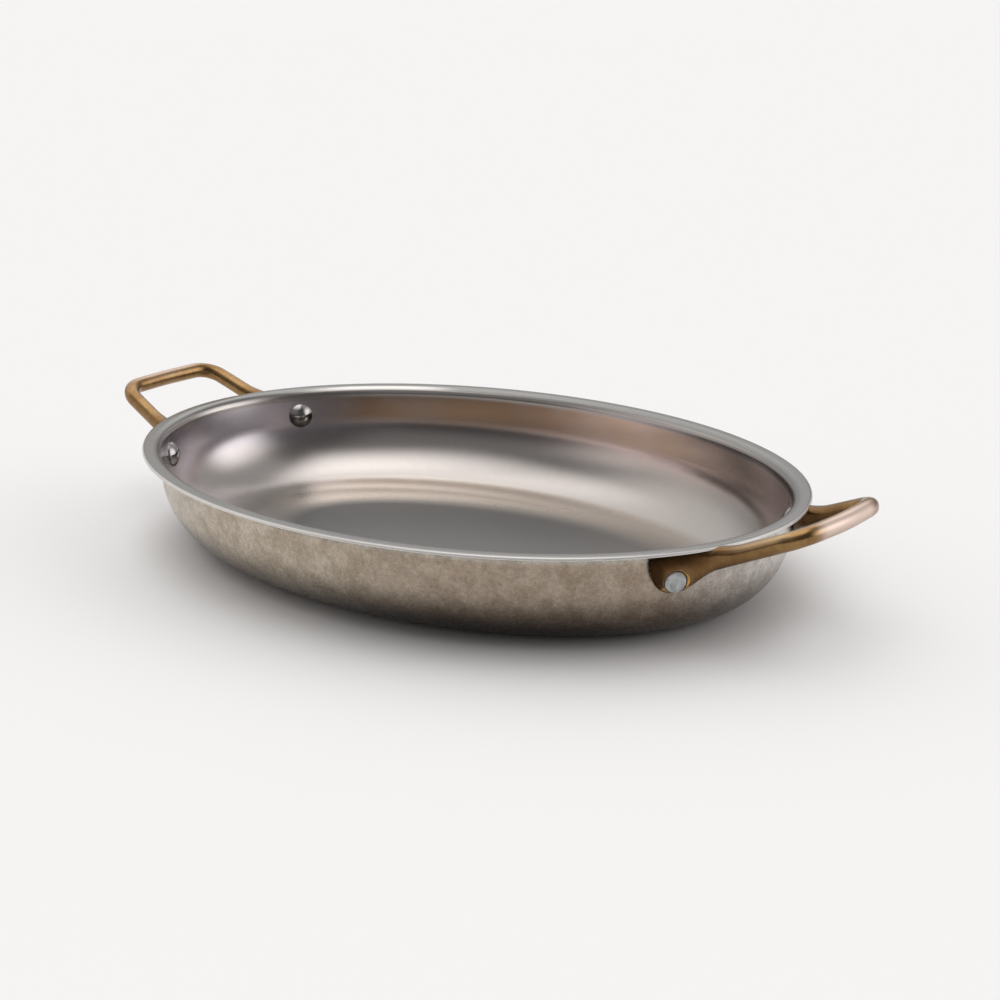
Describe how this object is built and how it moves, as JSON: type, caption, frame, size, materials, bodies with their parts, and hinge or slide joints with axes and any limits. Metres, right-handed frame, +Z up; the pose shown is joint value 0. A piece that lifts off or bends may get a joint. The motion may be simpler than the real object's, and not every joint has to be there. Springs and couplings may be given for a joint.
{
  "type": "oval serving dish",
  "caption": "Shallow oval metal serving dish with a flat rim flange, a rounded base corner and riveted cast loop handles at its ends, for baking and serving food.",
  "frame": {"origin": "middle of the base's underside, on the surface that the dish stands on", "axes": "+X along the dish's long axis towards one handle, +Y across the dish, +Z up"},
  "size_m": [0.2864, 0.165, 0.041],
  "materials": {
    "shell_steel": "stainless sheet, tumbled to an aged, finely scratched satin outside and half polished inside",
    "handle_bronze": "cast bronze-coloured metal, dull polished with a brown patina",
    "rivet_steel": "steel, polished domed head inside and dull flat end outside"
  },
  "bodies": {
    "root": {"dish_shell": "shell_steel", "handle_right": "handle_bronze", "handle_left": "handle_bronze", "rivet_right_back": "rivet_steel", "rivet_left_back": "rivet_steel", "rivet_left_front": "rivet_steel", "rivet_right_front": "rivet_steel"}
  },
  "joints": []
}
